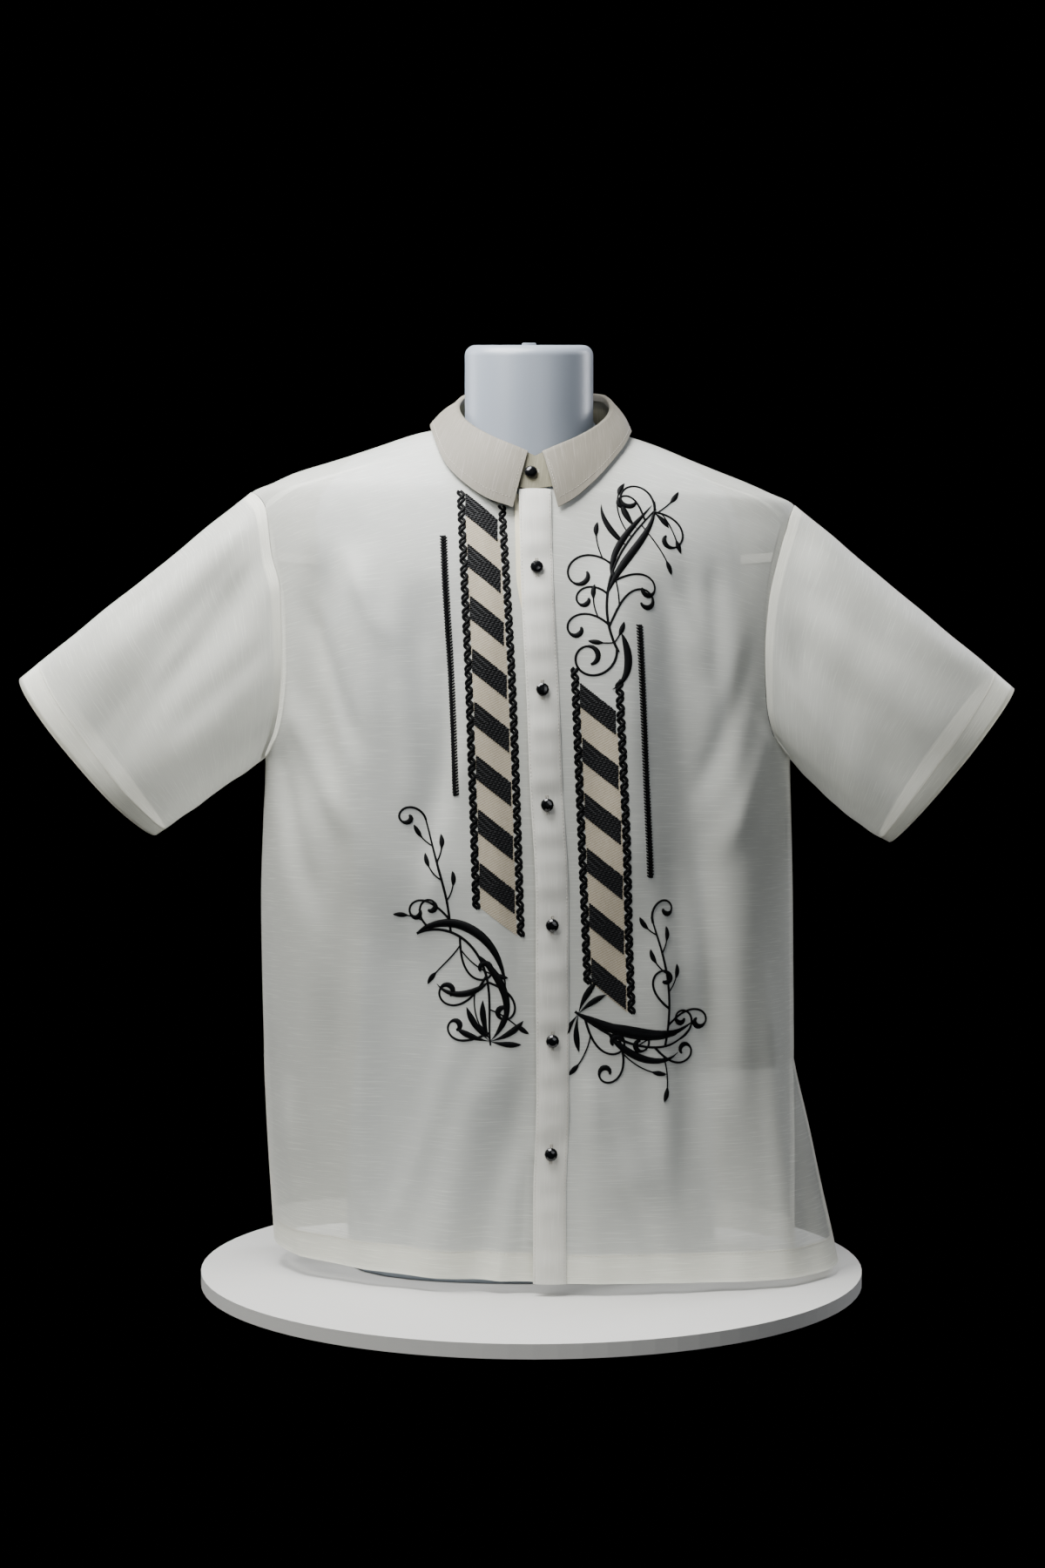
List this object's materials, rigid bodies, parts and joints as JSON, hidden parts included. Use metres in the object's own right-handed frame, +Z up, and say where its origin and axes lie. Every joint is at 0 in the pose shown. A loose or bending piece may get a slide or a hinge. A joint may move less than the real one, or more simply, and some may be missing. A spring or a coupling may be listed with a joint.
{
  "type": "barong tagalog shirt on a limbless dress form",
  "caption": "Short-sleeved sheer cream shirt with a folded collar, buttoned placket and black and cream embroidery, on a limbless form.",
  "frame": {"origin": "middle of the dress form's flat base", "axes": "+Z up, -Y out of the shirt's front, +X towards the wearer's left sleeve"},
  "size_m": [0.9074, 0.2749, 0.848],
  "materials": {
    "cloth": "sheer, crisp organza with fine slubs",
    "trim": "the same cloth doubled and lined, nearly opaque",
    "buttons": "glossy, faceted dome",
    "form": "smooth, slightly shiny white"
  },
  "bodies": {
    "root": {"dress_form": "form", "form_stub": "form", "front_right": "cloth", "front_left": "cloth", "back": "cloth", "yoke": "cloth", "sleeve_right": "cloth", "sleeve_left": "cloth", "placket": "trim", "button_band": "cloth", "collar_stand": "trim", "collar_fall": "trim", "button_1": "buttons", "button_2": "buttons", "button_3": "buttons", "button_4": "buttons", "button_5": "buttons", "button_6": "buttons", "button_7": "buttons"}
  },
  "joints": []
}
